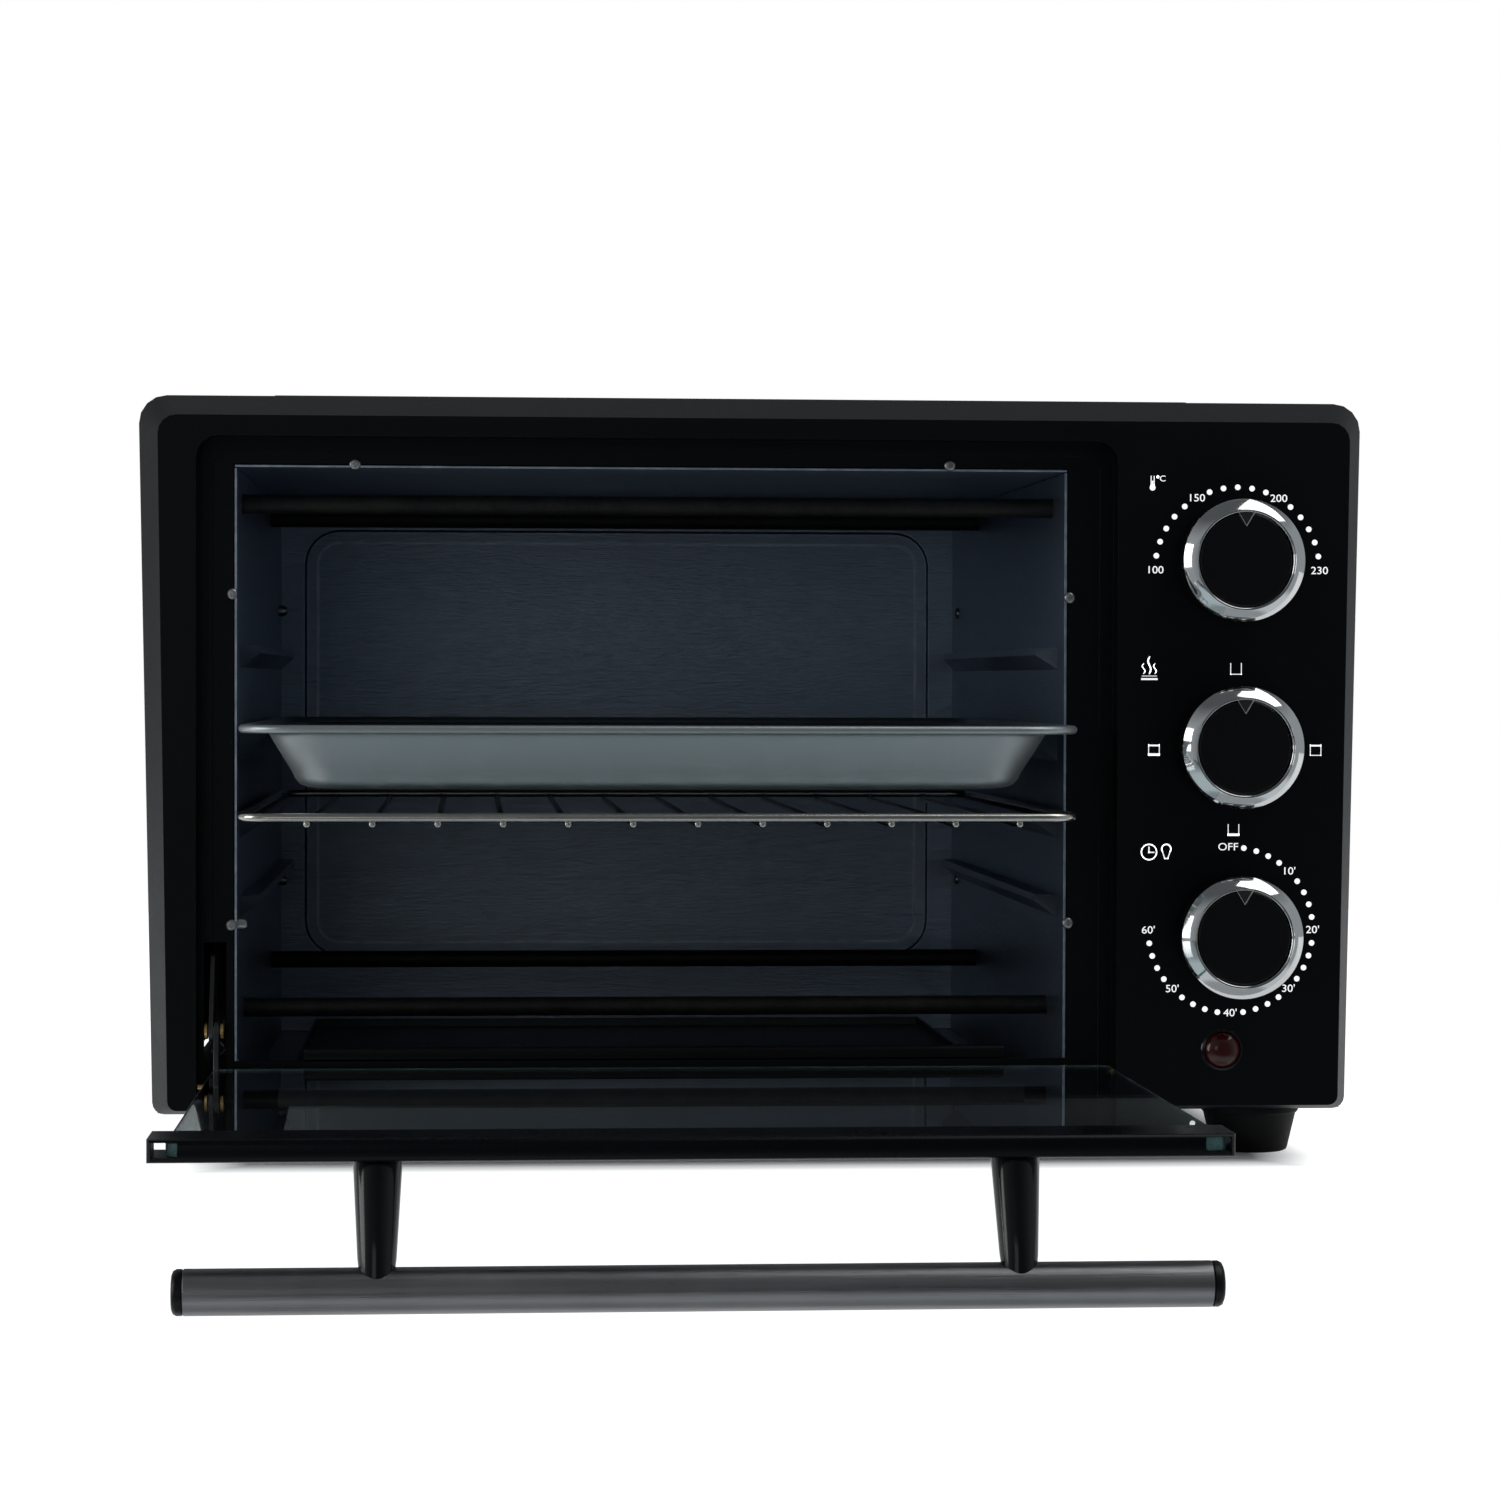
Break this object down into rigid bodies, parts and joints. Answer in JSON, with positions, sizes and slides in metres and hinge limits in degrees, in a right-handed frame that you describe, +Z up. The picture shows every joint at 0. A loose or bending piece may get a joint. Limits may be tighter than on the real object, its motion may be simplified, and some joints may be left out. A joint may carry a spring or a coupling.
{
  "type": "toaster oven",
  "caption": "Black countertop toaster oven with a drop-down glass door, a tray and a wire rack pulled forward, and dial controls down the right side.",
  "frame": {"origin": "under the middle of the bounding box, with the door open as stored: Z is 0 at the underside of the door handle, and the feet stand 14.6 mm higher", "axes": "+X to the right as seen from the front, +Y into the oven from the door to the back, +Z up"},
  "size_m": [0.4048, 0.5426, 0.266],
  "materials": {
    "black_paint": "semi-gloss black stoved paint",
    "casing_paint": "satin black paint on pressed sheet",
    "liner_steel": "aluminised steel with a fine rolled grain",
    "plated_steel": "zinc-plated sheet",
    "tray_metal": "satin light grey metal",
    "nickel_wire": "bright nickel-plated wire",
    "handle_steel": "stainless tube brushed lengthwise",
    "chrome": "bright chrome",
    "black_plastic": "glossy black plastic",
    "door_glass": "clear tempered glass with a green edge",
    "red_lens": "transparent red plastic",
    "rod_sheath": "dark oxidised steel sheath",
    "ceramic": "unglazed white ceramic",
    "brass": "plain brass",
    "foot_rubber": "matt black rubber",
    "wiring": "brown glass-fibre sleeving"
  },
  "bodies": {
    "casing": {"front_bezel": "black_paint", "housing_wrap": "casing_paint", "rear_cover": "casing_paint", "cavity_left_wall": "liner_steel", "cavity_right_wall": "liner_steel", "cavity_ceiling": "liner_steel", "cavity_back_panel": "liner_steel", "bottom_plate": "plated_steel", "control_mounting_plate": "plated_steel", "timer": "plated_steel", "door_spring": "plated_steel", "sill_strip": "black_plastic", "pilot_lamp_body": "black_plastic", "pilot_lamp_lens": "red_lens", "heating_rod_upper_front": "rod_sheath", "heating_rod_upper_rear": "rod_sheath", "heating_rod_lower_front": "rod_sheath", "heating_rod_lower_rear": "rod_sheath", "upper_left_rod_holder": "ceramic", "upper_right_rod_holder": "ceramic", "lower_left_rod_holder": "ceramic", "lower_right_rod_holder": "ceramic", "thermostat": "ceramic", "function_switch": "ceramic", "terminal_block": "ceramic", "left_hinge_pin": "brass", "right_hinge_pin": "brass", "front_left_foot": "foot_rubber", "front_right_foot": "foot_rubber", "rear_left_foot": "foot_rubber", "rear_right_foot": "foot_rubber", "cord_gland": "foot_rubber", "wiring_loom": "wiring"},
    "door": {"door_glass": "door_glass", "door_top_channel": "black_paint", "door_hinge_rail": "black_paint", "door_hinge_lever": "plated_steel", "door_stay_rivet": "brass", "left_handle_post": "black_plastic", "right_handle_post": "black_plastic", "handle_bar": "handle_steel", "left_handle_cap": "black_plastic", "right_handle_cap": "black_plastic"},
    "stay_link": {"door_stay_link": "plated_steel"},
    "temperature_control": {"temperature_knob": "black_plastic", "temperature_knob_ring": "chrome", "temperature_shaft": "plated_steel"},
    "function_control": {"function_knob": "black_plastic", "function_knob_ring": "chrome", "function_shaft": "plated_steel"},
    "timer_control": {"timer_knob": "black_plastic", "timer_knob_ring": "chrome", "timer_shaft": "plated_steel"},
    "rack": {"wire_rack": "nickel_wire"},
    "tray": {"baking_tray": "tray_metal"},
    "crumb_drawer": {"crumb_tray": "tray_metal"}
  },
  "joints": [
    {"name": "door_hinge", "type": "hinge", "parent": "casing", "child": "door", "pos_m": [0, -0.06197, 0.04056], "axis": [1, 0, 0], "range_deg": [-90, 0]},
    {"name": "stay_link_pivot", "type": "hinge", "parent": "door", "child": "stay_link", "pos_m": [-0.1762, -0.05847, 0.05856], "axis": [1, 0, 0], "range_deg": [0, 71]},
    {"name": "temperature_knob_turn", "type": "hinge", "parent": "casing", "child": "temperature_control", "pos_m": [0.1547, -0.08197, 0.21046], "axis": [0, 1, 0], "range_deg": [-90, 90]},
    {"name": "function_knob_turn", "type": "hinge", "parent": "casing", "child": "function_control", "pos_m": [0.1547, -0.08197, 0.15026], "axis": [0, 1, 0], "range_deg": [0, 270]},
    {"name": "timer_knob_turn", "type": "hinge", "parent": "casing", "child": "timer_control", "pos_m": [0.1547, -0.08197, 0.08906], "axis": [0, 1, 0], "range_deg": [0, 270]},
    {"name": "rack_slide", "type": "slide", "parent": "casing", "child": "rack", "axis": [0, -1, 0], "range_m": [-0.0511, 0]},
    {"name": "tray_slide", "type": "slide", "parent": "casing", "child": "tray", "axis": [0, -1, 0], "range_m": [-0.0561, 0]},
    {"name": "crumb_tray_slide", "type": "slide", "parent": "casing", "child": "crumb_drawer", "axis": [0, -1, 0], "range_m": [0, 0.15]}
  ],
  "couplings": [
    {"joint": "stay_link_pivot", "follows": "door_hinge", "ratio": -0.7778},
    {"joint": "rack_slide", "follows": "door_hinge", "m_per_rad": 0.0324},
    {"joint": "tray_slide", "follows": "door_hinge", "m_per_rad": 0.03559}
  ]
}
